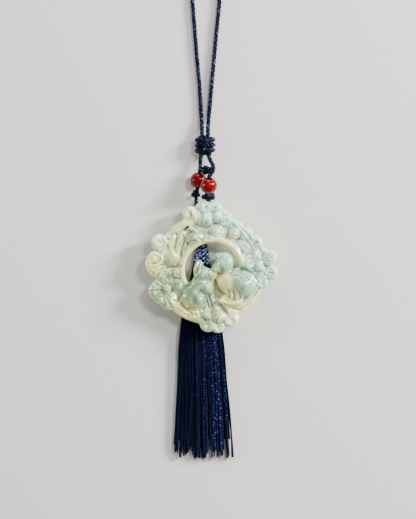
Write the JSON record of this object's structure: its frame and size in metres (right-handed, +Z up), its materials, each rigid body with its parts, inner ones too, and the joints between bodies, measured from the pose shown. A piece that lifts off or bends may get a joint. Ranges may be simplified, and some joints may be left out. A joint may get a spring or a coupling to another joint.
{
  "type": "carved jade pendant",
  "caption": "Round openwork jade plaque carved with flowers and small animals, hung from a braided cord loop with bored beads, knots and a long thread tassel.",
  "frame": {"origin": "on the table, under the middle of the ornament without its free cord loop", "axes": "+Z up from the table, out of the carved face; +Y along the ornament, from the tassel's ends towards the wrapped knot and the cord loop"},
  "size_m": [0.0497, 0.1815, 0.0112],
  "materials": {
    "jade": "polished",
    "red_glass": "polished",
    "blue_cord": "braided",
    "blue_silk": "twisted threads"
  },
  "bodies": {
    "root": {"jade_plaque": "jade", "left_bead": "red_glass", "right_bead": "red_glass", "wrapped_knot": "blue_cord", "crossing_knot": "blue_cord", "left_strand": "blue_cord", "right_strand": "blue_cord", "left_knot": "blue_cord", "right_knot": "blue_cord", "hanger_cord": "blue_cord", "neck_cord": "blue_cord", "tassel_loop": "blue_cord", "tassel_cap": "blue_cord", "tassel_skirt": "blue_silk"}
  },
  "joints": []
}
